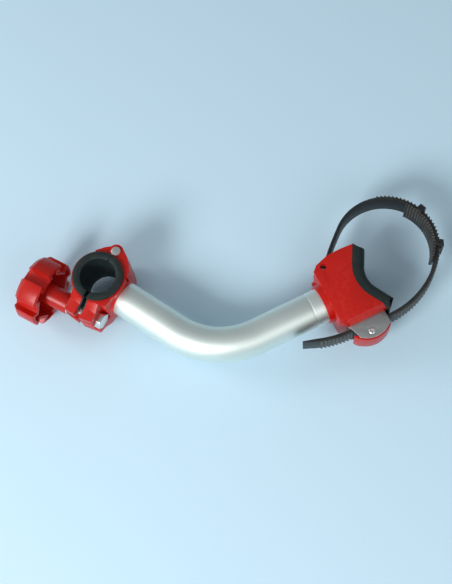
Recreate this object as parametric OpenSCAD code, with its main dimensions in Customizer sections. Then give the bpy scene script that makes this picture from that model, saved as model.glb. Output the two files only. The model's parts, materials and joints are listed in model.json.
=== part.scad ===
// Holding arm for a bicycle carrier: a hinged clamp for the carrier's rack tube, a bent
// aluminium arm, and a padded saddle with a ratchet strap for the bicycle's frame tube.
// Millimetres. The origin is the centre of the clamp's bore, and +Z runs along that bore.
// The arm's centre line lies in the XY plane: leg 1 slopes down by arm_rise, leg 2 up.

/* [Clamp] */
// Diameter of the rack tube that the clamp holds
bore_d = 30; // [28:1:31]
// Thickness of the rubber liner
liner_t = 3; // [2.5:0.5:3]
// Length of the jaws along the rack tube, without the liner's flanges
jaw_len = 41; // [36:1:46]
// Wall of the jaws outside the liner
jaw_wall = 5; // [4.5:0.5:5]
// Width of the slit between the two feet
slit_w = 5.5; // [4:0.5:6]
// Width of the feet along the rack tube
foot_len = 26; // [22:1:30]

/* [Knob] */
// Diameter across the knob's lobes
knob_d = 58; // [50:1:64]
// Number of lobes
knob_lobes = 6; // [5:1:7]
// Axial length of the knob's grip
grip_len = 21; // [18:1:24]
// Diameter of the knob's neck
neck_d = 18.4; // [17:0.2:20]

/* [Arm] */
// Outer diameter of the arm tube
tube_d = 30; // [30:1:30]
// Wall of the arm tube
tube_wall = 2; // [1.5:0.5:2]
// Slope of each leg against X
arm_rise = 30; // [30:1:30]
// Distance from the clamp's axis to the corner of the two legs
leg_1 = 117; // [105:1:130]
// Distance from that corner to the rim of the head's socket
leg_2 = 99.6; // [90:0.1:120]
// Bend radius of the tube's centre line
bend_r = 70; // [60:1:75]

/* [Head] */
// Width of the head across its flat faces
head_len = 41; // [38:1:44]
// Thickness of the saddle pad at its edges
pad_t = 7; // [6:0.5:8]
// Height of the pad's crown over its edges
crown_t = 4; // [3:0.5:4]

/* [Strap] */
// Width of the ratchet strap
strap_w = 20; // [18:0.5:20]
// Thickness of the strap under its teeth
strap_t = 2.6; // [2:0.2:2.6]
// Height of the strap's teeth
tooth_h = 1.2; // [0.8:0.1:1.2]
// Pitch of the strap's teeth
tooth_pitch = 3.2; // [3.2:0.2:4]

/* [Hidden] */
$fn = 64;
eps = 0.01;
// Play between a pin or bolt and the hole that turns on it
play = 0.05;
// Gap between faces of parts that move past each other
gap = 0.3;

// Clamp: u runs from the bore towards the arm, v towards the hinge pin
bore_r = bore_d / 2;
seat_r = bore_r + liner_t;
jaw_r = seat_r + jaw_wall;
jaw_half = jaw_len / 2;
flange_r = jaw_r - 1.5;
flange_t = 3;
hinge = [-0.6, jaw_r + 3.3];
knuckle_r = 6.5;
knuckle_half = 10;
pin_r = 2.5;
pin_head_r = 4;
pin_head_t = 1.6;
clip_t = 1;
slit_mid = 2;
slit_a = slit_mid - slit_w / 2;
slit_b = slit_mid + slit_w / 2;
foot_end = -37;
foot_top = -20;
foot_mid = [-27, 14.5];
foot_half = foot_len / 2;
foot_right = 21;
lip_end = -31;
lip_fork = [-23.4, 5];
lip_t = 1.2;

// Bolt: w runs along it, from the knob towards its head
bolt_at = [0, -28.4];
bolt_tilt = 6;
bolt_r = 4;
bolt_tip = -46.5;
seat_w = 15.5;
bolt_head_af = 13;
bolt_head_r = bolt_head_af / 2 / cos(30);
bolt_head_t = 5.5;
foot_face = -11;
fork_top = -23.6;
fork_half = bolt_r + 0.4;
washer_t = 1.2;
washer_r = 9;
neck_face = foot_face - gap - washer_t - play;
insert_r = 6.5;
insert_len = 18;
grip_face = neck_face - 18.5;
knob_end = grip_face - grip_len;
grip_r = knob_d / 2;
notch_depth = 6.5;
notch_w = 10;
knob_wall = 3;
knob_phase = 26;

// Arm
tube_r = tube_d / 2;
tube_bore_r = tube_r - tube_wall;
tube_start = jaw_r;
tangent = bend_r * tan(arm_rise);
// The bend laps over the straight legs by a hair, so that the tube is one solid
lap = 0.03;
lap_turn = 0.6;
socket_depth = 20;
spigot_r = tube_bore_r - 0.1;
spigot_end = 48;
rivet_r = 2.4;
rivet_head_r = 4;
rivet_reach = 6;
rivet_u = 36;
rivet_s = 9;

// Head: s runs along the second leg from the socket's rim, p square to it
head_half = head_len / 2;
collar_len = 4.5;
collar_r = 17.2;
saddle_slope = 61;
saddle_tip = [44, 30];
saddle_r = 32;
saddle_mid = saddle_tip[0] - saddle_tip[1] / tan(saddle_slope) + saddle_r / sin(saddle_slope);
pad_top = 31;
pad_low = 33;
pad_lean = [0.55, 0.75];
peg_r = 3;
peg_at = 20;
peg_z = 12;
peg_len = 6;
core_at = [18.5, -8];
core_r = 3.8;
head_floor = -30;
bevel_p = -26.5;
lower_half = 14.5;

// Strap route: it starts at its pin and runs clockwise round the loop, through the buckle
strap_pin_at = [13.4, 23.3];
strap_pin_r = 2.5;
strap_pin_half = head_half - 7;
eye_r = 5.2;
half_t = strap_t / 2;
lead_turn = 7.9;
lead_r = 310;
loop_turn = 165;
loop_r = 42.6;
sag_turn = 58.5;
sag_r = 73;
tail_turn = 16;
tail_r = 90;
lead_heading = 40 + lead_turn;
route = [
    [arc_len(lead_r, lead_turn), 1 / lead_r],
    [arc_len(loop_r, loop_turn), 1 / loop_r],
    [arc_len(sag_r, sag_turn), 1 / sag_r],
    [36, 0],
    [arc_len(tail_r, tail_turn), 1 / tail_r],
    [12, 0]
];
strap_start = [strap_pin_at[0], strap_pin_at[1], lead_heading];
buckle_start = route[0][0] + route[1][0] + route[2][0];
strap_len = buckle_start + route[3][0] + route[4][0] + route[5][0];
loop_start = pose_at(route[0][0]);
loop_mid = [
    loop_start[0] + loop_r * sin(loop_start[2]),
    loop_start[1] - loop_r * cos(loop_start[2])
];
step_len = 2.4;
tooth_x = [0, 0.05, 0.6, 2.1];
tooth_y = [0, tooth_h, tooth_h, 0];
smooth_end = 12;
// The teeth are laid out from the gap that the pawl sits in
pawl_s = 18;
pawl_t0 = buckle_start + pose_at(buckle_start)[0] - pawl_s;
tooth_from = pawl_t0 - 0.6 - tooth_pitch * floor((pawl_t0 - 84) / tooth_pitch) + 1.3;
pawl_tip = [pawl_s, pose_at(pawl_t0)[1] - half_t - tooth_h + 0.7];
spring_wire = 0.9;
tail_thin = 0.7;

// Sleeve on the strap's loop
sleeve_a = -42;
sleeve_b = 37;
sleeve_half = 12.5;
sleeve_in = loop_r - half_t - gap;
sleeve_out = loop_r + half_t + tooth_h + gap;
sleeve_t = 3;
band_t = 2.8;
band_turn = 7.4;
band_inset = 13;

// Buckle
plate_gap = 10.6;
plate_t = 1.4;
web_t = 1.4;
plate_mid = [27.2, -26.3];
plate_r = 20.8;
plate_left = 9.4;
plate_right = 42;
pivot = [25, -41.4];
pivot_r = 2;
lever_half = 10.2;
lever_t = 2.4;
hub_r = 3.4;
hub_half = 5.4;
screw_s = [14.5, 37];

function arc_len(r, turn) = r * turn * PI / 180;
function advance(q, t, k) =
    k == 0
        ? [q[0] + t * cos(q[2]), q[1] + t * sin(q[2]), q[2]]
        : let (h = q[2] - t * k * 180 / PI)
            [q[0] + (sin(q[2]) - sin(h)) / k, q[1] - (cos(q[2]) - cos(h)) / k, h];
function pose_at(t, q = strap_start, i = 0) =
    i == len(route) - 1 || t <= route[i][0]
        ? advance(q, t, route[i][1])
        : pose_at(t - route[i][0], advance(q, route[i][0], route[i][1]), i + 1);
function beside(t, d) =
    let (q = pose_at(t))
        [q[0] - d * sin(q[2]), q[1] + d * cos(q[2])];
// Strap thickness shrinks over its last smooth stretch
function skin(t) =
    t < strap_len - smooth_end ? half_t : half_t - (t - strap_len + smooth_end) / smooth_end * tail_thin;
function arc_points(mid, r, a, b, n) =
    [for (i = [0 : n]) mid + r * [cos(a + (b - a) * i / n), sin(a + (b - a) * i / n)]];
// Line of the saddle at a distance d in front of the head
function saddle_line(d, tip, low) = concat(
    [saddle_at(tip, d)],
    arc_points([saddle_mid, 0], saddle_r - d, 180 - (90 - saddle_slope), 180 + (90 - saddle_slope), 12),
    [saddle_at(-low, d)]
);
function saddle_at(p, d) = [
    saddle_tip[0] + (abs(p) - saddle_tip[1]) / tan(saddle_slope) + d / sin(saddle_slope),
    p
];

module at_clamp() {
    rotate([0, 0, -arm_rise]) children();
}

module at_bolt() {
    at_clamp() translate([bolt_at[0], bolt_at[1], 0]) rotate([0, 0, bolt_tilt]) children();
}

module at_corner() {
    translate([leg_1 * cos(arm_rise), -leg_1 * sin(arm_rise), 0]) children();
}

module at_head() {
    at_corner() rotate([0, 0, arm_rise]) translate([leg_2, 0, 0]) children();
}

// Solid of revolution from a to b along X
module rod(r, a, b) {
    translate([a, 0, 0]) rotate([0, 90, 0]) cylinder(r = r, h = b - a);
}

// Slab of a 2D outline between two heights
module slab(a, b) {
    translate([0, 0, a]) linear_extrude(b - a) children();
}

module block(u0, u1, v0, v1, z0, z1) {
    translate([u0, v0, z0]) cube([u1 - u0, v1 - v0, z1 - z0]);
}

module hinge_rod(r, a, b) {
    translate([hinge[0], hinge[1], a]) cylinder(r = r, h = b - a);
}

// A foot with the given outline, which narrows from the jaw's length to its own
module foot() {
    intersection() {
        slab(-jaw_half, jaw_half) children();
        translate([-40, 0, 0]) rotate([90, 0, 90]) linear_extrude(80) polygon([
            [0, -jaw_half], [foot_top, -jaw_half], [foot_mid[0], -foot_mid[1]], [foot_end, -foot_half],
            [foot_end, foot_half], [foot_mid[0], foot_mid[1]], [foot_top, jaw_half], [0, jaw_half]
        ]);
    }
}

// Fixed jaw with its foot, hinge knuckles and the spigot inside the arm tube
module clamp_body() {
    color("crimson") at_clamp() difference() {
        union() {
            difference() {
                union() {
                    intersection() {
                        translate([0, 0, -jaw_half]) cylinder(r = jaw_r, h = jaw_len);
                        block(hinge[0] + gap / 2, 40, -40, 40, -40, 40);
                    }
                    slab(-jaw_half, jaw_half) polygon([
                        [hinge[0] + gap / 2, hinge[1] + knuckle_r - 0.6], [4.5, hinge[1] + 4],
                        [10, 27.4], [15.2, 23.2], [19, 18], [21, 13], [14, 10], [hinge[0] + gap / 2, 20]
                    ]);
                    translate([12, 0, 0]) rotate([0, 90, 0])
                        cylinder(r1 = 19.6, r2 = tube_r, h = tube_start - 12);
                }
                block(-40, slit_b, -40, 0, -40, 40);
                hinge_rod(knuckle_r + gap, -knuckle_half - gap, knuckle_half + gap);
            }
            for (side = [-1, 1]) {
                hinge_rod(
                    knuckle_r, side < 0 ? -jaw_half : knuckle_half + gap,
                    side < 0 ? -knuckle_half - gap : jaw_half
                );
            }
            foot() polygon([
                [slit_b, -8], [slit_b, foot_end], [foot_right - 1, foot_end + 3.4], [foot_right, -8]
            ]);
            rod(spigot_r, 15, spigot_end);
        }
        translate([0, 0, -40]) cylinder(r = seat_r, h = 80);
        hinge_rod(pin_r + play, -40, 40);
        translate([bolt_at[0], bolt_at[1], 0]) rotate([0, 0, bolt_tilt]) {
            rod(bolt_r + 0.2, -5, 30);
            block(seat_w, 40, -bolt_head_r - 0.2, bolt_head_r + 0.2, -bolt_head_af / 2 - 0.1, 40);
        }
        rod(8, 27, spigot_end + 1);
        translate([rivet_u, 0, -20]) cylinder(r = rivet_r + play, h = 20);
        block(7.5, 17.5, foot_end - 1, foot_end + 3.2, 4, 6.5);
    }
}

// Moving jaw with the forked foot that the bolt lies in
module clamp_jaw() {
    color("crimson") at_clamp() difference() {
        union() {
            difference() {
                union() {
                    intersection() {
                        translate([0, 0, -jaw_half]) cylinder(r = jaw_r, h = jaw_len);
                        block(-40, hinge[0] - gap / 2, -40, 40, -40, 40);
                    }
                    slab(-jaw_half, jaw_half) polygon([
                        [hinge[0] - gap / 2, hinge[1] + 5], [-3.6, hinge[1] + 4.6],
                        [-10.5, 25], [-16.6, 17.6], [-10, 17], [hinge[0] - gap / 2, 20]
                    ]);
                }
                for (side = [-1, 1]) {
                    hinge_rod(knuckle_r + gap, side < 0 ? -40 : knuckle_half, side < 0 ? -knuckle_half : 40);
                }
                block(slit_a, 40, -40, 0, -40, 40);
            }
            hinge_rod(knuckle_r, -knuckle_half, knuckle_half);
            foot() polygon([
                [slit_a, -8], [slit_a, foot_end], [foot_left(foot_end), foot_end],
                [foot_left(-8), -8]
            ]);
        }
        translate([0, 0, -40]) cylinder(r = seat_r, h = 80);
        hinge_rod(pin_r + play, -40, 40);
        block(-20, 10, -50, fork_top, -fork_half, fork_half);
    }
}

// The moving foot's outer face is square to the bolt
function foot_left(v) = (foot_face - (v - bolt_at[1]) * sin(bolt_tilt)) / cos(bolt_tilt);

module hinge_pin() {
    color("silver") at_clamp() {
        hinge_rod(pin_r, -jaw_half - 3, jaw_half + eps);
        hinge_rod(pin_head_r, jaw_half, jaw_half + pin_head_t);
    }
}

module hinge_clip() {
    color("gainsboro") at_clamp() difference() {
        hinge_rod(pin_head_r, -jaw_half - clip_t, -jaw_half);
        hinge_rod(pin_r, -jaw_half - 2, -jaw_half + 1);
    }
}

// One half of the liner, on the side of the given sign
module liner_half(side) {
    at_clamp() difference() {
        union() {
            translate([0, 0, -jaw_half - flange_t]) cylinder(r = seat_r, h = jaw_len + 2 * flange_t);
            for (z = [-jaw_half - flange_t, jaw_half]) {
                translate([0, 0, z]) cylinder(r = flange_r, h = flange_t);
            }
            foot() polygon([
                [side > 0 ? slit_b - lip_t : slit_a, -bore_r], [side > 0 ? slit_b : slit_a + lip_t, -bore_r],
                [side > 0 ? slit_b : slit_a + lip_t, lip_end], [side > 0 ? slit_b - lip_t : slit_a, lip_end]
            ]);
        }
        translate([0, 0, -40]) cylinder(r = bore_r, h = 80);
        block(
            side > 0 ? -60 : hinge[0] - gap / 2, side > 0 ? hinge[0] + gap / 2 : 60,
            0, 60, -40, 40
        );
        block(
            side > 0 ? -60 : slit_a + lip_t, side > 0 ? slit_b - lip_t : 60,
            -60, eps, -40, 40
        );
        block(-10, 15, -60, lip_fork[0], -lip_fork[1], lip_fork[1]);
    }
}

module liner_fixed() {
    color("#1c2424") liner_half(1);
}

module liner_jaw() {
    color("#1c2424") liner_half(-1);
}

// Hexagon-head bolt, held against turning by the slot in the fixed foot
module clamp_bolt() {
    color("silver") at_bolt() {
        rod(bolt_r, bolt_tip + 1, seat_w + eps);
        translate([bolt_tip, 0, 0]) rotate([0, 90, 0]) cylinder(r1 = bolt_r - 1, r2 = bolt_r, h = 1);
        translate([seat_w, 0, 0]) rotate([0, 90, 0]) rotate([0, 0, 30])
            cylinder(r = bolt_head_r, h = bolt_head_t, $fn = 6);
    }
}

module thrust_washer() {
    color("silver") at_bolt() difference() {
        rod(washer_r, foot_face - gap - washer_t, foot_face - gap);
        rod(bolt_r + 0.3, foot_face - 10, foot_face + 10);
    }
}

// Outline of the knob, drawn in by a distance
module lobes(inset) {
    difference() {
        circle(r = grip_r - inset);
        for (i = [0 : knob_lobes - 1]) {
            rotate(knob_phase + (i + 0.5) * 360 / knob_lobes)
                translate([grip_r - notch_depth - inset, -notch_w / 2 - inset])
                    square([notch_depth * 2 + inset, notch_w + 2 * inset]);
        }
    }
}

// Hollow lobed knob with a long neck
module knob() {
    color("crimson") at_bolt() difference() {
        union() {
            rod(neck_d / 2, knob_end + knob_wall, neck_face);
            translate([knob_end, 0, 0]) rotate([0, 90, 0]) intersection() {
                difference() {
                    linear_extrude(grip_len) lobes(0);
                    translate([0, 0, knob_wall + 0.6]) linear_extrude(grip_len) lobes(knob_wall);
                }
                rotate_extrude() polygon([
                    [0, 0], [grip_r - 3.2, 0], [grip_r, 4], [grip_r, grip_len - 1],
                    [grip_r - 1, grip_len], [0, grip_len]
                ]);
            }
        }
        rod(insert_r, neck_face - insert_len, neck_face + 1);
        rod(bolt_r + 0.6, bolt_tip - 1.5, neck_face);
    }
}

module knob_insert() {
    color("goldenrod") at_bolt() difference() {
        rod(insert_r, neck_face - insert_len, neck_face - 0.2);
        rod(bolt_r + play, neck_face - 30, neck_face + 1);
    }
}

// Hollow straight length of tube from a to b along X
module tube_leg(a, b) {
    difference() {
        rod(tube_r, a, b);
        rod(tube_bore_r, a - 1, b + 1);
    }
}

module arm_tube() {
    color("gainsboro") difference() {
        union() {
            at_clamp() tube_leg(tube_start, leg_1 - tangent);
            at_corner() rotate([0, 0, arm_rise]) tube_leg(tangent, leg_2 + socket_depth);
            at_corner() translate([0, bend_r / cos(arm_rise), 0]) rotate([0, 0, -90 - arm_rise])
                rotate([0, 0, -lap_turn]) rotate_extrude(angle = 2 * (arm_rise + lap_turn))
                    translate([bend_r, 0]) difference() {
                        circle(r = tube_r + lap);
                        circle(r = tube_bore_r - lap);
                    }
        }
        rivet_holes(rivet_r + play);
    }
}

module rivet_holes(r) {
    at_clamp() translate([rivet_u, 0, -20]) cylinder(r = r, h = 20);
    at_head() translate([rivet_s, 0, -20]) cylinder(r = r, h = 20);
}

// Rivets through the tube's wall, on the arm's back
module tube_rivets() {
    color("silver") {
        at_clamp() translate([rivet_u, 0, 0]) rivet(tube_r);
        at_head() translate([rivet_s, 0, 0]) rivet(collar_r);
    }
}

module rivet(surface) {
    translate([0, 0, -surface - 1]) cylinder(r = rivet_r, h = surface - tube_r + rivet_reach + 1);
    translate([0, 0, -surface - 1.4]) cylinder(r1 = rivet_head_r - 1, r2 = rivet_head_r, h = 1.4);
}

// Outline of the head in the plane of the arm
module head_outline() {
    polygon(concat(
        [[collar_len, -22.5], [collar_len, 23], [8.5, 27], [21, 30.9], [34, 31.2], [43.4, 30.4]],
        saddle_line(0, saddle_tip[1], saddle_tip[1]),
        [[43.6, head_floor], [12, head_floor]]
    ));
}

module head_body() {
    color("crimson") at_head() difference() {
        union() {
            intersection() {
                slab(-head_half, head_half) head_outline();
                rotate([0, 90, 0]) linear_extrude(60) polygon([
                    [-head_half, 40], [-head_half, bevel_p], [-lower_half, head_floor],
                    [lower_half, head_floor], [head_half, bevel_p], [head_half, 40]
                ]);
            }
            rod(collar_r, 0, collar_len + eps);
            translate([0, core_at[0], core_at[1]]) rod(core_r + 1.4, collar_len - 1.5, collar_len + 1);
        }
        rod(tube_r + play, -1, socket_depth + 0.4);
        rod(tube_bore_r - 2, 10, 27);
        translate([strap_pin_at[0], strap_pin_at[1], -40]) cylinder(r = strap_pin_r + play, h = 80);
        slab(-strap_w / 2 - 0.5, strap_w / 2 + 0.5) {
            translate(strap_pin_at) circle(r = eye_r + 0.6);
            translate(strap_pin_at) rotate(lead_heading) translate([0, -3.4]) square([40, 8.4]);
        }
        translate([rivet_s, 0, -40]) cylinder(r = rivet_r + play, h = 40);
        block(rivet_s - 5.5, rivet_s + 5.5, -5.5, 5.5, -40, -collar_r);
        translate([0, core_at[0], core_at[1]]) rod(core_r, 0, collar_len + 4);
        pegs(peg_r, peg_len + gap);
        for (s = screw_s) {
            translate([s, head_floor - 1, 0]) rotate([-90, 0, 0]) cylinder(r = 2, h = 11);
        }
    }
}

// Moulded pegs that hold the saddle pad in the head
module pegs(r, len) {
    for (p = [-peg_at, peg_at]) {
        for (z = [-peg_z, peg_z]) {
            translate([0, p, z]) rod(r, saddle_at(p, 0)[0] - len, saddle_at(p, 0)[0] + 2);
        }
    }
}

// Outline of the pad between the head and a line at a distance t in front of it. Its ends
// lean in, so that it is shorter in front.
module pad_outline(t, top, low) {
    polygon(concat(
        saddle_line(0, top, low),
        [for (i = [14 : -1 : 0]) saddle_line(t, top - pad_lean[0] * t, low - pad_lean[1] * t)[i]]
    ));
}

module saddle_pad() {
    color("#202828") at_head() {
        slab(-head_half, head_half) pad_outline(pad_t, pad_top, pad_low);
        slab(-head_half + 4, head_half - 4) pad_outline(pad_t + crown_t / 2, pad_top - 0.5, pad_low - 0.5);
        slab(-head_half + 8, head_half - 8) pad_outline(pad_t + crown_t, pad_top - 1, pad_low - 1);
        pegs(peg_r - 0.05, peg_len);
    }
}

module strap_pin() {
    color("silver") at_head() translate([strap_pin_at[0], strap_pin_at[1], -strap_pin_half])
        cylinder(r = strap_pin_r, h = 2 * strap_pin_half);
}

// Toothed strap with an eye round its pin
module ratchet_strap() {
    teeth_n = floor((strap_len - smooth_end - tooth_from) / tooth_pitch);
    outer = concat(
        [for (t = [strap_pin_r + 1 : step_len : tooth_from - tooth_pitch]) beside(t, skin(t))],
        [for (i = [0 : teeth_n - 1], k = [0 : 3]) let (t = tooth_from + i * tooth_pitch)
            beside(t + tooth_x[k], half_t + tooth_y[k])],
        [for (i = [0 : 6]) let (t = strap_len - smooth_end * (1 - i / 6)) beside(t, skin(t))]
    );
    inner = [for (t = [strap_len : -step_len : strap_pin_r + 1]) beside(t, -skin(t))];
    color("#262c2c") at_head() difference() {
        union() {
            slab(-strap_w / 2, strap_w / 2) polygon(concat(outer, inner));
            slab(-strap_w / 2, strap_w / 2) translate(strap_pin_at) circle(r = eye_r);
        }
        translate([strap_pin_at[0], strap_pin_at[1], -40]) cylinder(r = strap_pin_r + play, h = 80);
    }
}

// Sector of a ring round the strap's loop
module sector(r0, r1, a, b, half) {
    translate([loop_mid[0], loop_mid[1], 0]) rotate([0, 0, a])
        rotate_extrude(angle = b - a) translate([r0, -half]) square([r1 - r0, 2 * half]);
}

// Rubber sleeve that slides along the strap: an inner pad and two bands round the strap
module strap_sleeve() {
    color("#1e2424") at_head() {
        sector(sleeve_in - sleeve_t, sleeve_in, sleeve_a, sleeve_b, sleeve_half);
        for (a = [sleeve_a + band_inset, sleeve_b - band_inset - band_turn]) {
            difference() {
                sector(sleeve_in - 0.5, sleeve_out + band_t, a, a + band_turn, sleeve_half);
                sector(sleeve_in - 1, sleeve_out, a - 1, a + band_turn + 1, strap_w / 2 + gap);
            }
        }
    }
}

// Side of the buckle: a straight top and a round lower edge
module plate_outline() {
    intersection() {
        translate(plate_mid) circle(r = plate_r);
        polygon([
            [plate_left, head_floor], [plate_left + 4, head_floor - 10],
            [plate_left + 4, -60], [plate_right, -60], [plate_right, head_floor]
        ]);
    }
}

// Steel channel riveted under the head
module buckle_frame() {
    color("silver") at_head() difference() {
        union() {
            for (z = [-plate_gap - plate_t, plate_gap]) {
                slab(z, z + plate_t) plate_outline();
            }
            block(
                plate_left + 0.6, plate_right - 0.4, head_floor - web_t, head_floor,
                -plate_gap - eps, plate_gap + eps
            );
        }
        translate([pivot[0], pivot[1], -40]) cylinder(r = pivot_r + play, h = 80);
        for (s = screw_s) {
            translate([s, head_floor - 5, 0]) rotate([-90, 0, 0]) cylinder(r = 2.05, h = 10);
        }
    }
}

module buckle_rivets() {
    color("silver") at_head() for (s = screw_s) {
        translate([s, head_floor - web_t, 0]) rotate([-90, 0, 0]) cylinder(r = 1.95, h = web_t + 9);
    }
}

// Red lever between the plates: it rocks on its pin and carries the pawl
module release_lever() {
    color("crimson") at_head() difference() {
        union() {
            slab(-lever_half, lever_half) intersection() {
                difference() {
                    translate(plate_mid) circle(r = plate_r + 1);
                    translate(plate_mid) circle(r = plate_r + 1 - lever_t);
                }
                polygon([
                    [plate_left + 0.6, -38.7], [plate_left - 4, -60], [plate_right + 1, -60],
                    [plate_right - 0.2, -41.5]
                ]);
            }
            slab(-hub_half, hub_half) {
                translate(pivot) circle(r = hub_r - 0.2);
                polygon([
                    [pivot[0] - 3.1, pivot[1]], [pivot[0] - 5, -45.6], [pivot[0] + 5, -46.6],
                    [pivot[0] + 3.1, pivot[1]]
                ]);
            }
            slab(-hub_half, hub_half) polygon([
                [pawl_s - 1, pawl_tip[1] - 2.2], [pawl_s - 2.4, -43], [pivot[0] - 2, -46],
                [pivot[0] - 2.2, pivot[1] + 2.2]
            ]);
        }
        translate([pivot[0], pivot[1], -40]) cylinder(r = pivot_r + play, h = 80);
        slab(-hub_half - 1, hub_half + 1) pawl_outline(0.05);
    }
}

// Steel pawl set in the lever: a narrow blade whose tip lies between two teeth
module pawl_outline(extra) {
    polygon([
        [pawl_tip[0] - 0.25, pawl_tip[1]], [pawl_tip[0] + 0.25, pawl_tip[1]],
        [pawl_tip[0] + 1.6 + extra, pawl_tip[1] - 1.8], [pawl_tip[0] + 1.9 + extra, -43.6 - extra],
        [pawl_tip[0] - 0.1 - extra, -43.6 - extra], [pawl_tip[0] - 0.25 - extra, pawl_tip[1] - 1]
    ]);
}

module lever_pawl() {
    color("silver") at_head() slab(-hub_half + 0.1, hub_half - 0.1) pawl_outline(0);
}

module lever_pin() {
    color("silver") at_head() translate([pivot[0], pivot[1], 0]) {
        translate([0, 0, -plate_gap - plate_t]) cylinder(r = pivot_r, h = 2 * (plate_gap + plate_t));
        for (z = [-plate_gap - plate_t - 0.8, plate_gap + plate_t]) {
            translate([0, 0, z]) cylinder(r = pivot_r + 0.8, h = 0.8);
        }
    }
}

// Two coils of the torsion spring, one on each side of the lever's hub
module lever_spring() {
    color("gray") at_head() for (side = [-1, 1]) {
        translate([pivot[0], pivot[1], side * (hub_half + 2.4)]) {
            for (turn = [-1.5 : 1 : 1.5]) {
                translate([0, 0, turn * spring_wire]) rotate_extrude()
                    translate([pivot_r + 0.35 + spring_wire / 2, 0]) circle(d = spring_wire * 1.08, $fn = 24);
            }
            translate([0, -pivot_r - 0.35 - spring_wire / 2, side * spring_wire * 1.5])
                rod(spring_wire / 2, 0, 9);
        }
    }
}

clamp_body();
clamp_jaw();
hinge_pin();
hinge_clip();
liner_fixed();
liner_jaw();
clamp_bolt();
thrust_washer();
knob();
knob_insert();
arm_tube();
tube_rivets();
head_body();
saddle_pad();
strap_pin();
ratchet_strap();
strap_sleeve();
buckle_frame();
buckle_rivets();
release_lever();
lever_pawl();
lever_pin();
lever_spring();
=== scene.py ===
"""Holding arm of a bicycle carrier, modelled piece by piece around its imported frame."""

import json
import math

import bmesh
import bpy
from bpy.props import FloatProperty, FloatVectorProperty, PointerProperty
from mathutils import Matrix, Vector


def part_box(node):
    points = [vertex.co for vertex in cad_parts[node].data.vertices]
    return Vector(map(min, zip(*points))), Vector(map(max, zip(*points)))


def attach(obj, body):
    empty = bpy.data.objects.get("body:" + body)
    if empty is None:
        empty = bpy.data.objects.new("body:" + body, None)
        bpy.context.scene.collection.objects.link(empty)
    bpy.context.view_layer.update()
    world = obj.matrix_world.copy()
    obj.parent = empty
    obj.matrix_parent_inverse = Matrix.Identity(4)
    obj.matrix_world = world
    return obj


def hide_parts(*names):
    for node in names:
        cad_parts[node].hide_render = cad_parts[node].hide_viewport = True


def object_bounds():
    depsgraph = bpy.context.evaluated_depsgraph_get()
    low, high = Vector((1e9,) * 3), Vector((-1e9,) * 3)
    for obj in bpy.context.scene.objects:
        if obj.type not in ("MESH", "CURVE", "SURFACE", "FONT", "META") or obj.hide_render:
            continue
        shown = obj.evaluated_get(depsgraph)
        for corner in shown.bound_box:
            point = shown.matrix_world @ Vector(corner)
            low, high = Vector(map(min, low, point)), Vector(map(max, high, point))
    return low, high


bl_info = {
    "name": "Carrier holding arm",
    "version": (1, 0, 0),
    "blender": (4, 5, 0),
    "location": "View3D > Sidebar > Carrier arm",
    "description": "Builds the clamp, arm, saddle and ratchet strap of a carrier's holding arm",
    "category": "Add Mesh",
}

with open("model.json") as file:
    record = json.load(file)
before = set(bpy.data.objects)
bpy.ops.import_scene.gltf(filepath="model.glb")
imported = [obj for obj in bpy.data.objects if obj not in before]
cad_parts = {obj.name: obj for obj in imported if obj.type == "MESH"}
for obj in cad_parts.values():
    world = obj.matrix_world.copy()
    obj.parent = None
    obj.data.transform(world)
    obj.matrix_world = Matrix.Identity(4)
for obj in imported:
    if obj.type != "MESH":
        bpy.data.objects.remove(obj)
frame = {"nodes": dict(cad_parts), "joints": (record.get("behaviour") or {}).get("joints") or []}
CAD_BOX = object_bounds()
JOINTS = {joint["name"]: joint for joint in frame["joints"]}
MM = 0.001
# Lengths below are in millimetres, in the frame of their own part, unless said otherwise
RISE = math.radians(30)
LEG_1 = 117.0
LEG_2 = 99.6
SOCKET_DEPTH = 20.0
BEND_R = 70.0
BEND_STEPS = 40
TUBE_START = 23.0
TUBE_SIDES = 96
# Further stations on the tube's first leg, before the bend
FIRST_LEG = (30.0, 50.0, 72.0)
# Crimp groove of the tube: place along the second leg and radius
GROOVE = (
    (60.0, 15.0), (88.0, 15.0), (88.6, 14.9), (89.2, 14.72), (89.8, 14.72), (90.4, 14.9),
    (91.0, 15.0))
TUBE_R = 15.0
TUBE_WALL = 2.0
SADDLE_SLOPE = math.radians(61)
SADDLE_R = 32.0
SADDLE_MID = 63.96
PAD_TOP = 31.0
PAD_LOW = 33.0
PAD_LEAN = (0.55, 0.8)
# Area of a tooth's top, smallest and largest
TOOTH_TOP = (8e-6, 1.5e-5)
# Sleeve: radii, ends, ribs and bands about the strap's loop
SLEEVE_R = (38.0, 41.0)
SLEEVE_FROM = math.radians(-42)
SLEEVE_TO = math.radians(37)
RIBS = 20
RIB_STEPS = 6
RIB_DEPTH = 0.9
SCALLOP = 0.05
BAND_TURN = math.radians(7.4)
BAND_UPPER = math.radians(16.6)
BAND_LOWER = math.radians(-29)
BAND_SECTION = (
    (40.6, -12.4), (45.2, -12.4), (48.0, -10.5), (48.0, 10.5), (45.2, 12.4), (40.6, 12.4),
    (40.6, 10.35), (45.4, 10.35), (45.4, -10.35), (40.6, -10.35))
PAD_STRAIGHT = 6
PAD_ARC = 16
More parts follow.
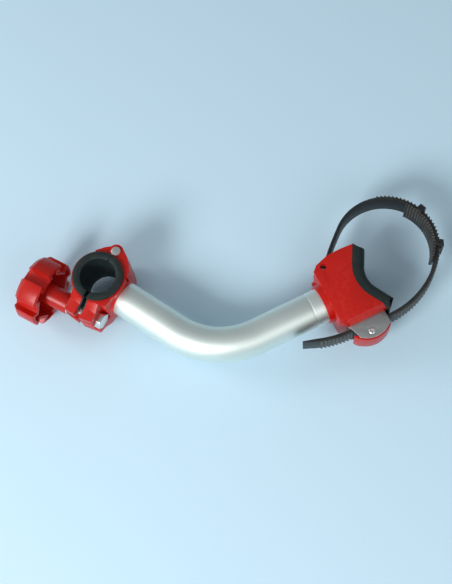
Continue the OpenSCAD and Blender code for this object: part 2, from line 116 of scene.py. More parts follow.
# Hollow rivet that the lever turns on: radius and height, from its middle to its ends
PIN_PROFILE = (
    (0.0, -12.0), (0.7, -12.0), (1.0, -12.15), (1.25, -12.7), (1.55, -12.8), (2.4, -12.6),
    (2.8, -12.2), (2.8, -12.02), (1.98, -12.02), (1.98, 12.02), (2.8, 12.02), (2.8, 12.2),
    (2.4, 12.6), (1.55, 12.8), (1.25, 12.7), (1.0, 12.15), (0.7, 12.0), (0.0, 12.0))
SPRING_R = 2.85
SPRING_Z = 5.85
WIRE_R = 0.42
SPRING_TURN = 4 * 360 - 90
SPRING_STEPS = 96
SPRING_RISE = 0.038
SPRING_LEG = 9.0
SPRING_SIDES = 12
PIN_STEPS = 48
BAND_STEPS = 8
# Liner's mouth and the small edge roundings, in metres
MOUTH_R = 0.015
MOUTH_CHAMFER = 0.0018
MOUTH_REACH = 0.0001
STRAP_EDGE = 0.00018
RIB_EDGE = 0.00025
BAND_EDGE = 0.0007
PLATE_EDGE = 0.00055
LEVER_EDGE = 0.0005
# Distances under which points are welded, and the bend that still counts as flat
WELD = 1e-7
CAD_WELD = 3e-6
FLAT_BEND = math.radians(0.6)
FLOOR_AT = (0.16, 0.0)
FLOOR_GAP = 0.001
ROOM_COLOUR = (0.85, 0.93, 1.0, 1.0)
WORLD_STRENGTH = 0.34
# Softboxes: name, place, point they face, side and power
LIGHTS = (
    ("key", (-0.60, -1.10, 0.95), (0.12, 0.0, 0.0), 0.6, 18.5),
    ("fill", (0.95, -0.85, 1.0), (0.18, 0.0, 0.0), 0.9, 4.0),
    ("left", (-1.2, 0.25, 0.8), (0.1, 0.0, 0.0), 0.6, 5.0),
)
SENSOR = 36.0
LENS = 78.3
CAMERA_AT = (0.1856, -0.2643, 0.7881)
# Turns of the camera about X, Y and Z, in degrees
CAMERA_TURN = (18.764, 4.238, 4.439)


def turn_z(angle):
    return Matrix.Rotation(angle, 4, "Z")


def shift(x, y, z=0.0):
    return Matrix.Translation((x, y, z))


# Frames of the clamp, the bend and the head, from millimetres to metres
TO_METRES = Matrix.Scale(MM, 4)
CLAMP = TO_METRES @ turn_z(-RISE)
CORNER = TO_METRES @ shift(LEG_1 * math.cos(RISE), -LEG_1 * math.sin(RISE))
HEAD = CORNER @ turn_z(RISE) @ shift(LEG_2, 0)
PIVOT_AT = HEAD.inverted() @ Vector(JOINTS["lever_rock"]["pos_m"])
LOOP_AT = HEAD.inverted() @ Vector(JOINTS["sleeve_slide"]["pos_m"])
# Turns a shape drawn along Z so that it lies along X, and one drawn flat so that it stands
ALONG_X = Matrix.Rotation(math.pi / 2, 4, "Y")
ACROSS = Matrix.Rotation(math.pi / 2, 4, "X")


class ArmSizes(bpy.types.PropertyGroup):
    """Sizes of the finish: edge roundings and small details."""

    moulded_edge: FloatProperty(
        name="Moulded edge", description="Rounding of the plastic parts' edges",
        default=0.0009, min=0.0, unit="LENGTH")
    steel_edge: FloatProperty(
        name="Steel edge", description="Rounding of the steel parts' edges",
        default=0.0003, min=0.0, unit="LENGTH")
    rubber_edge: FloatProperty(
        name="Rubber edge", description="Rounding of the rubber parts' edges",
        default=0.0008, min=0.0, unit="LENGTH")
    floor_size: FloatProperty(
        name="Floor size", description="Side of the square floor",
        default=6.0, min=1.0, unit="LENGTH")


class ArmColours(bpy.types.PropertyGroup):
    """Colours of the arm's materials."""

    red: FloatVectorProperty(
        name="Red plastic", description="Moulded parts", subtype="COLOR",
        size=3, default=(0.50, 0.006, 0.001), min=0, max=1)
    rubber: FloatVectorProperty(
        name="Rubber", description="Liner and saddle pad", subtype="COLOR",
        size=3, default=(0.006, 0.012, 0.0115), min=0, max=1)
    strap: FloatVectorProperty(
        name="Strap", description="Ratchet strap and sleeve", subtype="COLOR",
        size=3, default=(0.008, 0.009, 0.009), min=0, max=1)
    aluminium: FloatVectorProperty(
        name="Aluminium", description="Arm tube", subtype="COLOR",
        size=3, default=(0.82, 0.90, 0.85), min=0, max=1)
    floor: FloatVectorProperty(
        name="Floor", description="Floor under the arm", subtype="COLOR",
        size=3, default=(0.60, 0.80, 0.92), min=0, max=1)


# ---------------------------------------------------------------- shader helpers


class Field:
    """A node socket that does arithmetic by adding Math nodes."""

    def __init__(self, shader, socket):
        self.shader = shader
        self.socket = socket

    def _math(self, operation, a, b):
        return self.shader.node("ShaderNodeMath", {"operation": operation}, {0: a, 1: b})

    def __add__(self, other):
        return self._math("ADD", self, other)

    __radd__ = __add__

    def __sub__(self, other):
        return self._math("SUBTRACT", self, other)

    def __rsub__(self, other):
        return self._math("SUBTRACT", other, self)

    def __mul__(self, other):
        return self._math("MULTIPLY", self, other)

    __rmul__ = __mul__


class Shader:
    """A material under construction, with one principled surface."""

    def __init__(self, name, metallic=0.0, **constants):
        self.material = bpy.data.materials.new(name)
        self.material.use_nodes = True
        self.tree = self.material.node_tree
        self.surface = self.tree.nodes["Principled BSDF"]
        self.surface.inputs["Metallic"].default_value = metallic
        for socket, value in constants.items():
            self.surface.inputs[socket.replace("_", " ")].default_value = value

    def node(self, kind, settings=None, inputs=None, out=0):
        """Adds a node: its settings first, then the values and links of its sockets."""
        made = self.tree.nodes.new(kind)
        for key, value in (settings or {}).items():
            setattr(made, key, value)
        for key, value in (inputs or {}).items():
            if isinstance(value, Field):
                self.tree.links.new(value.socket, made.inputs[key])
            else:
                made.inputs[key].default_value = value
        return Field(self, made.outputs[out])

    def place(self, scale=(1, 1, 1)):
        source = self.node("ShaderNodeTexCoord", out="Object")
        return self.node("ShaderNodeMapping", {}, {"Vector": source, "Scale": scale})

    def noise(self, where, scale, detail=3.0, roughness=0.5):
        return self.node(
            "ShaderNodeTexNoise", {},
            {"Vector": where, "Scale": scale, "Detail": detail, "Roughness": roughness})

    def ramp(self, value, low, high):
        """0 under low, 1 over high."""
        return self.node(
            "ShaderNodeMapRange", {"interpolation_type": "SMOOTHSTEP"},
            {"Value": value, "From Min": low, "From Max": high})

    def mix(self, factor, a, b):
        return self.node(
            "ShaderNodeMix", {"data_type": "RGBA"},
            {0: factor, 6: colour4(a), 7: colour4(b)}, out=2)

    def attribute(self, name):
        return self.node("ShaderNodeAttribute", {"attribute_name": name}, out="Fac")

    def bump(self, height, distance, strength, under=None):
        inputs = {"Height": height, "Distance": distance, "Strength": strength}
        if under is not None:
            inputs["Normal"] = under
        return self.node("ShaderNodeBump", {}, inputs)

    def set(self, **fields):
        """Links fields to the surface's sockets and returns the material."""
        for socket, value in fields.items():
            self.tree.links.new(value.socket, self.surface.inputs[socket.replace("_", " ")])
        return self.material


def colour4(value):
    return value if isinstance(value, Field) else (*value, 1.0)


def scaled(colour, factor):
    return tuple(min(1.0, c * factor) for c in colour)


MATERIALS = {}


def material(name):
    if name not in MATERIALS:
        MATERIALS[name] = MAKERS[name](bpy.context.scene.arm_colours)
    return MATERIALS[name]


def red_plastic(colours):
    """Glossy moulded nylon: faint flow marks, fine grain and rubbed corners."""
    red = tuple(colours.red)
    s = Shader("red_plastic", Specular_IOR_Level=0.36, Coat_Weight=0.12, Coat_Roughness=0.2)
    where = s.place()
    clouds = s.noise(where, 16.0, 2.0)
    flow = s.noise(s.place((1.0, 1.0, 4.0)), 60.0, 3.0)
    grain = s.noise(where, 2600.0, 2.0)
    specks = s.ramp(s.noise(where, 520.0, 6.0, 0.7), 0.66, 0.78)
    rub = s.ramp(s.node("ShaderNodeNewGeometry", out="Pointiness"), 0.53, 0.62)
    base = s.mix(s.ramp(clouds, 0.3, 0.7), scaled(red, 0.94), scaled(red, 1.05))
    worn = s.mix(rub * s.ramp(s.noise(where, 300.0), 0.42, 0.62) * 0.1, base, (0.80, 0.07, 0.05))
    dusty = s.mix(specks * 0.12, worn, (0.55, 0.20, 0.18))
    return s.set(
        Base_Color=dusty, Roughness=0.30 + clouds * 0.06 + grain * 0.06 + specks * 0.15,
        Normal=s.bump(grain, 0.00004, 0.45, s.bump(flow, 0.00006, 0.2)))


def liner_rubber(colours):
    """Matt rubber with a fine moulded grain and a little dust."""
    black = tuple(colours.rubber)
    s = Shader("liner_rubber", Specular_IOR_Level=0.42)
    where = s.place()
    clouds = s.noise(where, 70.0, 5.0)
    grain = s.noise(where, 1800.0, 3.0)
    dust = s.ramp(s.noise(where, 210.0, 6.0, 0.65), 0.52, 0.78)
    base = s.mix(clouds, black, scaled(black, 1.7))
    dusty = s.mix(dust * 0.22, base, (0.09, 0.11, 0.105))
    return s.set(
        Base_Color=dusty, Roughness=0.46 + clouds * 0.16 + dust * 0.12,
        Normal=s.bump(grain, 0.00006, 0.5))


def strap_plastic(colours):
    """Satin strap: the crests of the teeth are rubbed paler."""
    black = tuple(colours.strap)
    s = Shader("strap_plastic", Specular_IOR_Level=0.5)
    where = s.place()
    clouds = s.noise(where, 90.0, 4.0)
    grain = s.noise(where, 1500.0, 2.0)
    crest = s.attribute("crest") * s.ramp(clouds, 0.25, 0.6)
    base = s.mix(clouds, black, scaled(black, 1.8))
    return s.set(
        Base_Color=s.mix(crest * 0.75, base, (0.115, 0.105, 0.085)),
        Roughness=0.36 + clouds * 0.14 + grain * 0.05,
        Normal=s.bump(grain, 0.00005, 0.45))


def satin_aluminium(colours):
    """Anodised tube: drawing lines along it and soft clouds."""
    s = Shader("satin_aluminium", metallic=1.0)
    straight = s.node("ShaderNodeAttribute", {"attribute_name": "straight"}, out="Vector")
    drawn = s.node("ShaderNodeMapping", {}, {"Vector": straight, "Scale": (9.0, 700.0, 700.0)})
    fine_drawn = s.node(
        "ShaderNodeMapping", {}, {"Vector": straight, "Scale": (40.0, 3000.0, 3000.0)})
    lines = s.noise(drawn, 1.0, 3.0, 0.6)
    fine = s.noise(fine_drawn, 1.0, 2.0, 0.6)
    clouds = s.noise(s.place(), 28.0, 4.0)
    marks = s.ramp(s.noise(s.place(), 480.0, 6.0, 0.7), 0.66, 0.8)
    pale = tuple(colours.aluminium)
    base = s.mix(clouds * 0.6 + lines * 0.4, scaled(pale, 0.9), scaled(pale, 1.06))
    return s.set(
        Base_Color=s.mix(marks * 0.25, base, (0.55, 0.56, 0.55)),
        Roughness=0.45 + clouds * 0.08 + lines * 0.06 + marks * 0.08,
        Normal=s.bump(fine, 0.00002, 0.4, s.bump(lines, 0.00004, 0.35)))


def zinc_steel(colours):
    """Bright zinc plate with a faint cloudy spangle."""
    s = Shader("zinc_steel", metallic=1.0)
    where = s.place()
    clouds = s.noise(where, 160.0, 5.0)
    pits = s.ramp(s.noise(where, 1500.0, 4.0), 0.6, 0.75)
    base = s.mix(clouds, (0.72, 0.70, 0.66), (0.86, 0.86, 0.85))
    return s.set(
        Base_Color=s.mix(pits * 0.5, base, (0.42, 0.41, 0.39)),
        Roughness=0.22 + clouds * 0.18 + pits * 0.2,
        Normal=s.bump(pits, 0.00003, 0.4))


def brushed_plate(colours):
    """Stainless sheet brushed along the head."""
    s = Shader("brushed_plate", metallic=1.0)
    turned = s.node(
        "ShaderNodeMapping", {},
        {"Vector": s.node("ShaderNodeTexCoord", out="Object"), "Rotation": (0.0, 0.0, -RISE)})
    along = s.node("ShaderNodeMapping", {}, {"Vector": turned, "Scale": (60.0, 2600.0, 2600.0)})
    lines = s.noise(along, 1.0, 4.0, 0.65)
    clouds = s.noise(s.place(), 110.0, 4.0)
    base = s.mix(lines * 0.7 + clouds * 0.3, (0.40, 0.41, 0.39), (0.62, 0.63, 0.61))
    return s.set(
        Base_Color=base, Roughness=0.32 + lines * 0.16 + clouds * 0.06,
        Normal=s.bump(lines, 0.00003, 0.5))


def polished_edge(colours):
    """Tumbled bright edge of the sheet."""
    s = Shader("polished_edge", metallic=1.0)
    clouds = s.noise(s.place(), 700.0, 3.0)
    return s.set(
        Base_Color=s.mix(clouds, (0.84, 0.84, 0.82), (0.94, 0.94, 0.92)),
        Roughness=0.24 + clouds * 0.14)


def turned_brass(colours):
    """Turned brass with a faint cloudy tone."""
    s = Shader("turned_brass", metallic=1.0)
    clouds = s.noise(s.place(), 400.0, 4.0)
    return s.set(
        Base_Color=s.mix(clouds, (0.62, 0.42, 0.16), (0.80, 0.60, 0.27)),
        Roughness=0.22 + clouds * 0.2)


def spring_wire(colours):
    """Drawn spring wire, lightly oiled."""
    s = Shader("spring_wire", metallic=1.0)
    clouds = s.noise(s.place(), 900.0, 3.0)
    return s.set(
        Base_Color=s.mix(clouds, (0.28, 0.28, 0.28), (0.46, 0.46, 0.46)),
        Roughness=0.26 + clouds * 0.15)


def floor_paint(colours):
    """Pale matt floor with a barely visible mottle."""
    pale = tuple(colours.floor)
    s = Shader("floor_paint", Specular_IOR_Level=0.2)
    clouds = s.noise(s.place(), 3.0, 3.0)
    return s.set(
        Base_Color=s.mix(clouds, scaled(pale, 0.98), scaled(pale, 1.02)),
        Roughness=0.7 + clouds * 0.1)


MAKERS = {
    maker.__name__: maker
    for maker in (
        red_plastic, liner_rubber, strap_plastic, satin_aluminium, zinc_steel, brushed_plate,
        polished_edge, turned_brass, spring_wire, floor_paint)
}


# ---------------------------------------------------------------- mesh helpers


def finish_piece(name, bm, body, replaced, slot, *materials, smooth_angle=35):
    """Turns a mesh into a piece on a body, standing for the nodes that it replaces."""
    bmesh.ops.remove_doubles(bm, verts=bm.verts, dist=WELD)
    bmesh.ops.recalc_face_normals(bm, faces=bm.faces)
    mesh = bpy.data.meshes.new(name)
    limit = math.radians(smooth_angle)
    for face in bm.faces:
        face.smooth = True
    for edge in bm.edges:
        edge.smooth = len(edge.link_faces) == 2 and edge.calc_face_angle(0.0) < limit
    bm.to_mesh(mesh)
    bm.free()
    piece = bpy.data.objects.new(name, mesh)
    bpy.context.scene.collection.objects.link(piece)
    for entry in materials:
        mesh.materials.append(material(entry))
    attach(piece, body)
    if replaced:
        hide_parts(*replaced)
    return piece


def node_copy(node):
    """A welded copy of a CAD node, with its flat faces joined up again."""
    bm = bmesh.new()
    bm.from_mesh(frame["nodes"][node].data)
    bmesh.ops.remove_doubles(bm, verts=bm.verts, dist=CAD_WELD)
    bmesh.ops.dissolve_limit(
        bm, angle_limit=FLAT_BEND, use_dissolve_boundaries=False,
        verts=bm.verts, edges=bm.edges)
    return bm


def round_edges(bm, width, segments=2, angle=32, mark=-1):
    """Rounds every edge that is sharper than the angle."""
    limit = math.radians(angle)
    sharp = [
        e for e in bm.edges if len(e.link_faces) == 2 and e.calc_face_angle(0.0) > limit]
    bmesh.ops.bevel(
        bm, geom=sharp, offset=width, offset_type="OFFSET", segments=segments, profile=0.5,
        affect="EDGES", clamp_overlap=True, material=mark)


def grown(bm, ring):
    """Extrudes a ring of edges and returns the new ring."""
    made = bmesh.ops.extrude_edge_only(bm, edges=ring)["geom"]
    return [e for e in made if isinstance(e, bmesh.types.BMEdge) and len(e.link_faces) == 1]


def outline(bm, points, matrix):
    """A closed ring of edges through points in the XY plane, put in place by a matrix."""
    verts = [bm.verts.new(matrix @ Vector((x, y, 0.0))) for x, y in points]
    return [bm.edges.new((a, b)) for a, b in zip(verts, verts[1:] + verts[:1])]


def refined(node, body, slot, surface, width, segments=2, angle=32, extra=()):
    """A CAD node's copy with rounded edges, which take the extra material where there is one."""
    bm = node_copy(node)
    round_edges(bm, width, segments, angle, 1 if extra else -1)
    return finish_piece(node + "_finished", bm, body, [node], slot, surface, *extra)


def sizes():
    return bpy.context.scene.arm_sizes


# ---------------------------------------------------------------- operators


class Build:
    """Runs an operator's build step; what goes wrong there stops the script."""

    bl_options = {"REGISTER", "UNDO"}

    def execute(self, context):
        self.build(context)
        return {"FINISHED"}


class ARM_OT_clamp(Build, bpy.types.Operator):
    """The two jaws of the rack clamp"""

    bl_idname = "carrier_arm.clamp"
    bl_label = "Clamp jaws"

    def build(self, context):
        edge = sizes().moulded_edge
        refined("clamp_body", "arm", "red_plastic", "red_plastic", edge, 3)
        refined("clamp_jaw", "jaw", "red_plastic", "red_plastic", edge, 3)


class ARM_OT_hardware(Build, bpy.types.Operator):
    """Bolt, washer, hinge pin, clip, rivets and pins"""

    bl_idname = "carrier_arm.hardware"
    bl_label = "Fasteners and pins"

    def build(self, context):
        edge = sizes().steel_edge
        for node, body in (
                ("hinge_pin", "arm"), ("hinge_clip", "arm"), ("clamp_bolt", "arm"),
                ("thrust_washer", "washer"), ("tube_rivets", "arm"), ("strap_pin", "arm"),
                ("buckle_rivets", "arm")):
            refined(node, body, "zinc_steel", "zinc_steel", edge)
        refined("knob_insert", "knob", "brass", "turned_brass", edge)
        refined("lever_pawl", "lever", "stainless", "brushed_plate", edge * 0.3)


class ARM_OT_liner(Build, bpy.types.Operator):
    """Rubber liner of the clamp, one half in each jaw, with a chamfered mouth"""

    bl_idname = "carrier_arm.liner"
    bl_label = "Clamp liner"

    def build(self, context):
        for node, body in (("liner_fixed", "arm"), ("liner_jaw", "jaw")):
            bm = node_copy(node)
            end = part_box(node)[1].z
            mouth = [
                e for e in bm.edges
                if all(
                    abs(v.co.xy.length - MOUTH_R) < MOUTH_REACH
                    and abs(abs(v.co.z) - end) < MOUTH_REACH for v in e.verts)
            ]
            bmesh.ops.bevel(
                bm, geom=mouth, offset=MOUTH_CHAMFER, offset_type="OFFSET", segments=2,
                profile=0.5, affect="EDGES", material=-1)
            round_edges(bm, sizes().rubber_edge * 0.6, 2, 40)
            finish_piece(node + "_moulded", bm, body, [node], "liner_rubber", "liner_rubber")


class ARM_OT_knob(Build, bpy.types.Operator):
    """Hollow lobed knob with its neck"""

    bl_idname = "carrier_arm.knob"
    bl_label = "Knob"

    def build(self, context):
        refined("knob", "knob", "red_knob", "red_plastic", sizes().moulded_edge * 0.6, 2, 38)


class ARM_OT_tube(Build, bpy.types.Operator):
    """Bent arm tube with a crimp groove before the head"""

    bl_idname = "carrier_arm.tube"
    bl_label = "Arm tube"

    def build(self, context):
        tangent = BEND_R * math.tan(RISE)
        path = [TUBE_START, *FIRST_LEG, LEG_1 - tangent]
        stations = [CLAMP @ shift(u, 0) @ ALONG_X for u in path]
        centre = CORNER @ shift(0, BEND_R / math.cos(RISE))
        for step in range(1, BEND_STEPS + 1):
            angle = -math.pi / 2 - RISE + 2 * RISE * step / BEND_STEPS
            stations.append(
                centre @ turn_z(angle) @ shift(BEND_R, 0) @ turn_z(math.pi / 2) @ ALONG_X)
            path.append(LEG_1 - tangent + 2 * RISE * BEND_R * step / BEND_STEPS)
        radii = [TUBE_R] * len(path)
        last = tangent
        for s, radius in GROOVE + ((LEG_2 + SOCKET_DEPTH, TUBE_R),):
            stations.append(CORNER @ turn_z(RISE) @ shift(s, 0) @ ALONG_X)
            path.append(path[-1] + (s - last))
            radii.append(radius)
            last = s
        bm = bmesh.new()
        straight = bm.verts.layers.float_vector.new("straight")
        bmesh.ops.create_circle(bm, segments=TUBE_SIDES, radius=1.0)
        ring = list(bm.edges)
        for index, (station, along, radius) in enumerate(zip(stations, path, radii)):
            if index:
                ring = grown(bm, ring)
            verts = {v for e in ring for v in e.verts}
            size = Matrix.Diagonal((radius, radius, 1.0, 1.0))
            back = Matrix()
            if index:
                before = radii[index - 1]
                size_before = Matrix.Diagonal((before, before, 1.0, 1.0))
                back = (stations[index - 1] @ size_before).inverted()
            for v in verts:
                flat = size @ back @ v.co
                v[straight] = (along * MM, flat.x * MM, flat.y * MM)
            bmesh.ops.transform(bm, matrix=station @ size @ back, verts=list(verts))
        bmesh.ops.recalc_face_normals(bm, faces=bm.faces)
        bmesh.ops.solidify(bm, geom=list(bm.faces), thickness=TUBE_WALL * MM)
        round_edges(bm, sizes().steel_edge, 2, 60)
        finish_piece("arm_tube_bent", bm, "arm", ["arm_tube"], "tube_aluminium", "satin_aluminium")


class ARM_OT_head(Build, bpy.types.Operator):
    """Head moulding with its socket"""

    bl_idname = "carrier_arm.head"
    bl_label = "Head"

    def build(self, context):
        refined("head_body", "arm", "red_plastic", "red_plastic", sizes().moulded_edge, 3)


class ARM_OT_pad(Build, bpy.types.Operator):
    """Moulded saddle pad: a crowned section swept along the V, with ends that lean in"""

    bl_idname = "carrier_arm.pad"
    bl_label = "Saddle pad"

    def build(self, context):
        bm = bmesh.new()
        depth = bm.verts.layers.float.new("depth")
        slope = math.pi / 2 - SADDLE_SLOPE
        mid = HEAD @ shift(SADDLE_MID, 0)
        straight_len = PAD_TOP / math.sin(SADDLE_SLOPE) - SADDLE_R * math.tan(slope)
        # In the section, X runs into the head and Y is the width
        flip = Matrix(((1, 0, 0, 0), (0, 0, 1, 0), (0, 1, 0, 0), (0, 0, 0, 1)))
        stations = []
        for step in range(PAD_STRAIGHT + 1):
            left = straight_len * (1 - step / PAD_STRAIGHT)
            stations.append(mid @ turn_z(math.pi - slope) @ shift(SADDLE_R, -left) @ flip)
        for step in range(1, PAD_ARC):
            angle = math.pi - slope + 2 * slope * step / PAD_ARC
            stations.append(mid @ turn_z(angle) @ shift(SADDLE_R, 0) @ flip)
        low_len = straight_len + (PAD_LOW - PAD_TOP) / math.sin(SADDLE_SLOPE)
        for step in range(PAD_STRAIGHT + 1):
            down = low_len * step / PAD_STRAIGHT
            stations.append(mid @ turn_z(math.pi + slope) @ shift(SADDLE_R, down) @ flip)
        ring = outline(bm, [(-d, z) for d, z in pad_section()], stations[0])
        for v in bm.verts:
            v[depth] = -(stations[0].inverted() @ v.co).x
        first = list(ring)
        for before, after in zip(stations, stations[1:]):
            ring = grown(bm, ring)
            verts = list({v for e in ring for v in e.verts})
            bmesh.ops.transform(bm, matrix=after @ before.inverted(), verts=verts)
        ends = ((first, stations[0], PAD_LEAN[0]), (ring, stations[-1], -PAD_LEAN[1]))
        for end, along, lean in ends:
            for v in {v for e in end for v in e.verts}:
                v.co += along.to_3x3() @ Vector((0.0, 0.0, lean * v[depth]))
            bmesh.ops.contextual_create(bm, geom=end)
        round_edges(bm, sizes().rubber_edge * 1.4, 3, 60)
        finish_piece("saddle_pad_moulded", bm, "arm", ["saddle_pad"], "pad_rubber", "liner_rubber")


def pad_section():
    """Half the pad's section and its mirror image: depth in front of the head, and width."""
    half = [(0.0, 20.4), (5.6, 20.4), (6.5, 20.1), (7.1, 19.4)]
    half += [
        (7.1 + 3.6 * math.sin(math.pi / 2 * i / 6), 19.4 - 8.0 * (i / 6) ** 1.3)
        for i in range(1, 7)]
    half += [(10.8, 6.0)]
    return half + [(d, -z) for d, z in reversed(half)]


class ARM_OT_strap(Build, bpy.types.Operator):
    """Ratchet strap with its worn teeth"""

    bl_idname = "carrier_arm.strap"
    bl_label = "Ratchet strap"

    def build(self, context):
        bm = node_copy("ratchet_strap")
        crest = bm.verts.layers.float.new("crest")
        low, high = TOOTH_TOP
        for face in bm.faces:
            if low < face.calc_area() < high and abs(face.normal.z) < 0.1:
                for v in face.verts:
                    v[crest] = 1.0
        round_edges(bm, STRAP_EDGE, 2)
        finish_piece(
            "strap_toothed", bm, "arm", ["ratchet_strap"], "strap_plastic", "strap_plastic")


class ARM_OT_sleeve(Build, bpy.types.Operator):
    """Ribbed rubber sleeve and its two bands"""

    bl_idname = "carrier_arm.sleeve"
    bl_label = "Strap sleeve"

    def build(self, context):
        loop = HEAD @ Matrix.Translation(LOOP_AT)
        inside, outside = SLEEVE_R
        bm = bmesh.new()
        crest = bm.verts.layers.float.new("crest")
        upright = loop @ turn_z(SLEEVE_FROM) @ ACROSS
        section = [
            (inside, z) for z in (-11.9, -8.0, 0.0, 8.0, 11.9)] + [
            (inside + 0.7, 12.4), (outside - 0.5, 12.4), (outside, 11.9), (outside, -11.9),
            (outside - 0.5, -12.4), (inside + 0.7, -12.4)]
        ring = outline(bm, section, upright)
        ends = [ring]
        steps = RIBS * RIB_STEPS
        middle = loop.translation
        turn = Matrix.Rotation((SLEEVE_TO - SLEEVE_FROM) / steps, 3, "Z")
        for step in range(steps + 1):
            if step:
                ring = grown(bm, ring)
                verts = list({v for e in ring for v in e.verts})
                bmesh.ops.rotate(bm, cent=middle, matrix=turn, verts=verts)
            else:
                verts = list(bm.verts)
            for v in verts:
                v[crest] = 0.5 + 0.5 * math.cos(2 * math.pi * step / RIB_STEPS)
        ends.append(ring)
        for end in ends:
            bmesh.ops.contextual_create(bm, geom=end)
        for v in bm.verts:
            out = v.co - middle
            out.z = 0.0
            sunk = 1.0 - v[crest]
            if out.length < (inside + 0.3) * MM:
                v.co += out.normalized() * (RIB_DEPTH * MM * sunk)
            v.co.z *= 1.0 - SCALLOP * sunk
        round_edges(bm, RIB_EDGE, 2, 50)
        finish_piece(
            "sleeve_pad", bm, "sleeve", ["strap_sleeve"], "sleeve_rubber", "strap_plastic")
        for name, start in (("sleeve_band_upper", BAND_UPPER), ("sleeve_band_lower", BAND_LOWER)):
            bm = bmesh.new()
            upright = loop @ turn_z(start) @ ACROSS
            ring = outline(bm, BAND_SECTION, upright)
            bmesh.ops.contextual_create(bm, geom=ring)
            bmesh.ops.spin(
                bm, geom=list(bm.faces) + list(bm.edges) + list(bm.verts), cent=middle,
                axis=(0, 0, 1), angle=BAND_TURN, steps=BAND_STEPS, use_merge=False)
            bmesh.ops.recalc_face_normals(bm, faces=bm.faces)
            round_edges(bm, BAND_EDGE, 3, 40)
            finish_piece(
                name, bm, "sleeve", ["strap_sleeve"], "sleeve_rubber", "strap_plastic")


class ARM_OT_buckle(Build, bpy.types.Operator):
    """Buckle frame, release lever and spring"""

    bl_idname = "carrier_arm.buckle"
    bl_label = "Buckle"

    def build(self, context):
        refined(
            "buckle_frame", "arm", "stainless", "brushed_plate", PLATE_EDGE, 3,
            extra=("polished_edge",))
        refined("release_lever", "lever", "red_knob", "red_plastic", LEVER_EDGE, 3)
        pivot = HEAD @ Matrix.Translation(PIVOT_AT)
        bm = bmesh.new()
        flat = pivot @ ACROSS
        outline(bm, PIN_PROFILE, flat)
        bmesh.ops.spin(
            bm, geom=list(bm.edges) + list(bm.verts), cent=pivot.translation, axis=(0, 0, 1),
            angle=2 * math.pi, steps=PIN_STEPS, use_merge=True)
        finish_piece("lever_pin_hollow", bm, "arm", ["lever_pin"], "zinc_steel", "zinc_steel")
        for name, side in (("lever_spring_front", 1.0), ("lever_spring_back", -1.0)):
            bm = bmesh.new()
            wire = pivot @ shift(SPRING_R, 0, side * SPRING_Z) @ ACROSS
            bmesh.ops.create_circle(
                bm, cap_ends=True, segments=SPRING_SIDES, radius=WIRE_R, matrix=wire)
            start = list(bm.faces) + list(bm.edges) + list(bm.verts)
            made = bmesh.ops.spin(
                bm, geom=start, cent=pivot.translation, axis=(0, 0, 1),
                dvec=(0, 0, side * SPRING_RISE * MM), angle=math.radians(SPRING_TURN),
                steps=SPRING_STEPS)["geom_last"]
            cap = [f for f in made if isinstance(f, bmesh.types.BMFace)]
            leg = bmesh.ops.extrude_face_region(bm, geom=cap)
            verts = [v for v in leg["geom"] if isinstance(v, bmesh.types.BMVert)]
            bmesh.ops.translate(
                bm, vec=pivot.to_3x3() @ Vector((SPRING_LEG, 0.0, 0.0)), verts=verts)
            finish_piece(name, bm, "lever", ["lever_spring"], "spring_steel", "spring_wire")


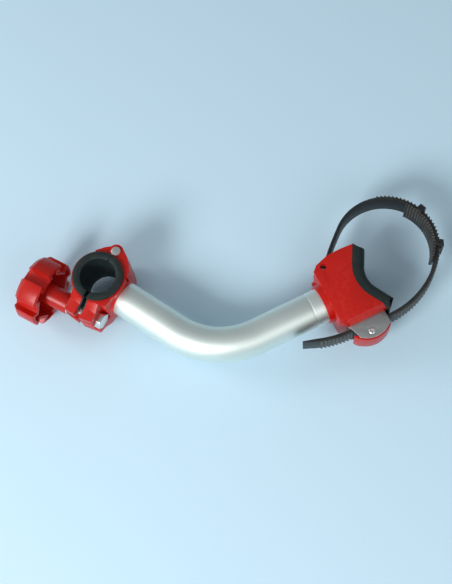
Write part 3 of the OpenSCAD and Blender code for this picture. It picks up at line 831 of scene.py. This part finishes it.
class ARM_OT_stage(Build, bpy.types.Operator):
    """Floor, lights and camera"""

    bl_idname = "carrier_arm.stage"
    bl_label = "Stage"

    def build(self, context):
        low = Vector(CAD_BOX[0])
        bm = bmesh.new()
        bmesh.ops.create_grid(bm, x_segments=1, y_segments=1, size=sizes().floor_size / 2)
        bmesh.ops.translate(bm, vec=(*FLOOR_AT, low.z - FLOOR_GAP), verts=bm.verts)
        mesh = bpy.data.meshes.new("floor")
        bm.to_mesh(mesh)
        bm.free()
        floor = bpy.data.objects.new("floor", mesh)
        mesh.materials.append(material("floor_paint"))
        context.scene.collection.objects.link(floor)
        for name, place, target, size, power in LIGHTS:
            light = bpy.data.lights.new(name, "AREA")
            light.size = size
            light.energy = power
            lamp = bpy.data.objects.new(name, light)
            lamp.location = place
            aim = Vector(target) - Vector(place)
            lamp.rotation_euler = aim.to_track_quat("-Z", "Y").to_euler()
            context.scene.collection.objects.link(lamp)
        world = bpy.data.worlds.new("soft_room")
        world.use_nodes = True
        background = world.node_tree.nodes["Background"]
        background.inputs["Color"].default_value = ROOM_COLOUR
        background.inputs["Strength"].default_value = WORLD_STRENGTH
        context.scene.world = world
        camera = bpy.data.objects.new("camera", bpy.data.cameras.new("camera"))
        camera.data.sensor_fit = "HORIZONTAL"
        camera.data.sensor_width = SENSOR
        camera.data.lens = LENS
        camera.location = CAMERA_AT
        camera.rotation_euler = [math.radians(a) for a in CAMERA_TURN]
        context.scene.collection.objects.link(camera)
        context.scene.camera = camera
        context.scene.view_settings.view_transform = "Standard"


STEPS = (
    ARM_OT_stage, ARM_OT_tube, ARM_OT_clamp, ARM_OT_liner, ARM_OT_hardware, ARM_OT_knob,
    ARM_OT_head, ARM_OT_pad, ARM_OT_strap, ARM_OT_sleeve, ARM_OT_buckle,
)


class ARM_PT_panel(bpy.types.Panel):
    """Lists the steps that build the arm"""

    bl_idname = "ARM_PT_panel"
    bl_label = "Carrier arm"
    bl_space_type = "VIEW_3D"
    bl_region_type = "UI"
    bl_category = "Carrier arm"

    def draw(self, context):
        for step in STEPS:
            self.layout.operator(step.bl_idname)


CLASSES = (ArmSizes, ArmColours, *STEPS, ARM_PT_panel)


def register():
    for cls in CLASSES:
        bpy.utils.register_class(cls)
    bpy.types.Scene.arm_sizes = PointerProperty(type=ArmSizes)
    bpy.types.Scene.arm_colours = PointerProperty(type=ArmColours)


def unregister():
    del bpy.types.Scene.arm_colours
    del bpy.types.Scene.arm_sizes
    for cls in reversed(CLASSES):
        bpy.utils.unregister_class(cls)


def main():
    register()
    for step in STEPS:
        group, name = step.bl_idname.split(".")
        getattr(getattr(bpy.ops, group), name)()


if __name__ == "__main__":
    main()
